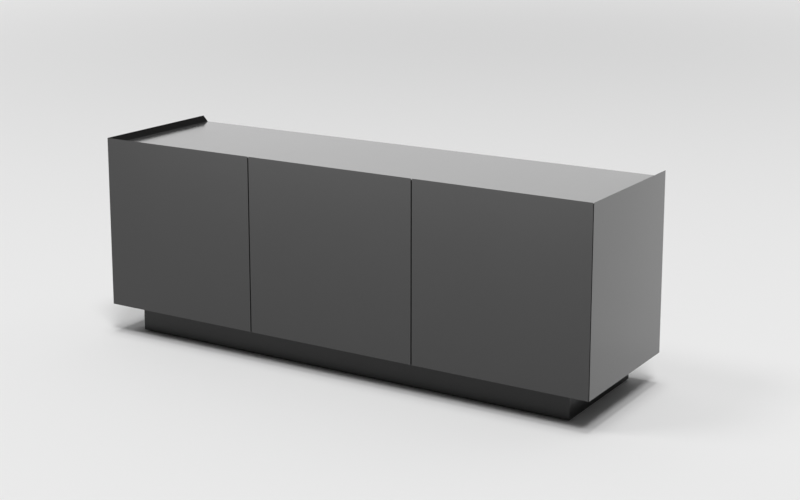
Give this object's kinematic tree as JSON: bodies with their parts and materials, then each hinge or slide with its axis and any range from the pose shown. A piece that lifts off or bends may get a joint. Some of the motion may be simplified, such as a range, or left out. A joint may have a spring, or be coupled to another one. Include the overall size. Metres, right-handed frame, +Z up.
{
  "type": "dresser",
  "caption": "Low wide dresser with full-height handle-less drawers, knife-edged fronts and sides round a sunk top, on a set-back plinth with levelling glides.",
  "frame": {"origin": "on the floor, below the middle of the body", "axes": "+Z up, -Y out through the drawer fronts, +X to the right seen from the front"},
  "size_m": [1.8, 0.512, 0.68],
  "materials": {
    "grey_lacquer": "dark grey satin lacquer on fibreboard, black on the bevels of the top edges",
    "plinth_black": "black matt lacquer",
    "back_board": "dark grey melamine, matt",
    "box_board": "light grey linen-effect melamine with matching edging",
    "box_bottom": "light grey melamine, matt",
    "slide_steel": "bright zinc plated",
    "zinc_fittings": "zinc plated",
    "timber": "raw beech",
    "bumper_rubber": "soft matt",
    "glide_plastic": "moulded, fine grain"
  },
  "bodies": {
    "root": {"side_panel_left": "grey_lacquer", "side_panel_right": "grey_lacquer", "top_panel": "grey_lacquer", "bottom_panel": "grey_lacquer", "partition_left": "grey_lacquer", "partition_right": "grey_lacquer", "back_panel": "back_board", "back_panel_screws": "zinc_fittings", "cam_locks": "zinc_fittings", "cam_bolts": "zinc_fittings", "carcass_dowels": "timber", "front_bumpers": "bumper_rubber", "plinth_front": "plinth_black", "plinth_back": "plinth_black", "plinth_left": "plinth_black", "plinth_right": "plinth_black", "plinth_rails": "plinth_black", "plinth_blocks": "timber", "plinth_screws": "zinc_fittings", "glide_inserts": "zinc_fittings", "slide_screws": "zinc_fittings", "slide_cabinet_left": "slide_steel", "slide_cabinet_middle": "slide_steel", "slide_cabinet_right": "slide_steel"},
    "glide_front_left": {"glide_front_left": "glide_plastic"},
    "glide_front_middle": {"glide_front_middle": "glide_plastic"},
    "glide_front_right": {"glide_front_right": "glide_plastic"},
    "glide_rear_left": {"glide_rear_left": "glide_plastic"},
    "glide_rear_middle": {"glide_rear_middle": "glide_plastic"},
    "glide_rear_right": {"glide_rear_right": "glide_plastic"},
    "slide_middle_left": {"slide_middle_left": "slide_steel", "ball_cages_left": "slide_steel"},
    "drawer_left": {"front_left": "grey_lacquer", "box_front_left": "box_board", "box_back_left": "box_board", "box_near_side_left": "box_board", "box_far_side_left": "box_board", "box_bottom_left": "box_bottom", "slide_drawer_left": "slide_steel", "drawer_screws_left": "zinc_fittings"},
    "slide_middle_middle": {"slide_middle_middle": "slide_steel", "ball_cages_middle": "slide_steel"},
    "drawer_middle": {"front_middle": "grey_lacquer", "box_front_middle": "box_board", "box_back_middle": "box_board", "box_near_side_middle": "box_board", "box_far_side_middle": "box_board", "box_bottom_middle": "box_bottom", "slide_drawer_middle": "slide_steel", "drawer_screws_middle": "zinc_fittings"},
    "slide_middle_right": {"slide_middle_right": "slide_steel", "ball_cages_right": "slide_steel"},
    "drawer_right": {"front_right": "grey_lacquer", "box_front_right": "box_board", "box_back_right": "box_board", "box_near_side_right": "box_board", "box_far_side_right": "box_board", "box_bottom_right": "box_bottom", "slide_drawer_right": "slide_steel", "drawer_screws_right": "zinc_fittings"}
  },
  "joints": [
    {"name": "glide_front_left_screw", "type": "slide", "parent": "root", "child": "glide_front_left", "axis": [0, 0, -1], "range_m": [0, 0.01]},
    {"name": "glide_front_middle_screw", "type": "slide", "parent": "root", "child": "glide_front_middle", "axis": [0, 0, -1], "range_m": [0, 0.01]},
    {"name": "glide_front_right_screw", "type": "slide", "parent": "root", "child": "glide_front_right", "axis": [0, 0, -1], "range_m": [0, 0.01]},
    {"name": "glide_rear_left_screw", "type": "slide", "parent": "root", "child": "glide_rear_left", "axis": [0, 0, -1], "range_m": [0, 0.01]},
    {"name": "glide_rear_middle_screw", "type": "slide", "parent": "root", "child": "glide_rear_middle", "axis": [0, 0, -1], "range_m": [0, 0.01]},
    {"name": "glide_rear_right_screw", "type": "slide", "parent": "root", "child": "glide_rear_right", "axis": [0, 0, -1], "range_m": [0, 0.01]},
    {"name": "drawer_left_travel", "type": "slide", "parent": "root", "child": "drawer_left", "axis": [0, -1, 0], "range_m": [0, 0.42]},
    {"name": "slide_middle_left_travel", "type": "slide", "parent": "root", "child": "slide_middle_left", "axis": [0, -1, 0], "range_m": [0, 0.21]},
    {"name": "drawer_middle_travel", "type": "slide", "parent": "root", "child": "drawer_middle", "axis": [0, -1, 0], "range_m": [0, 0.42]},
    {"name": "slide_middle_middle_travel", "type": "slide", "parent": "root", "child": "slide_middle_middle", "axis": [0, -1, 0], "range_m": [0, 0.21]},
    {"name": "drawer_right_travel", "type": "slide", "parent": "root", "child": "drawer_right", "axis": [0, -1, 0], "range_m": [0, 0.42]},
    {"name": "slide_middle_right_travel", "type": "slide", "parent": "root", "child": "slide_middle_right", "axis": [0, -1, 0], "range_m": [0, 0.21]}
  ],
  "couplings": [
    {"joint": "slide_middle_left_travel", "follows": "drawer_left_travel", "ratio": 0.5},
    {"joint": "slide_middle_middle_travel", "follows": "drawer_middle_travel", "ratio": 0.5},
    {"joint": "slide_middle_right_travel", "follows": "drawer_right_travel", "ratio": 0.5}
  ]
}
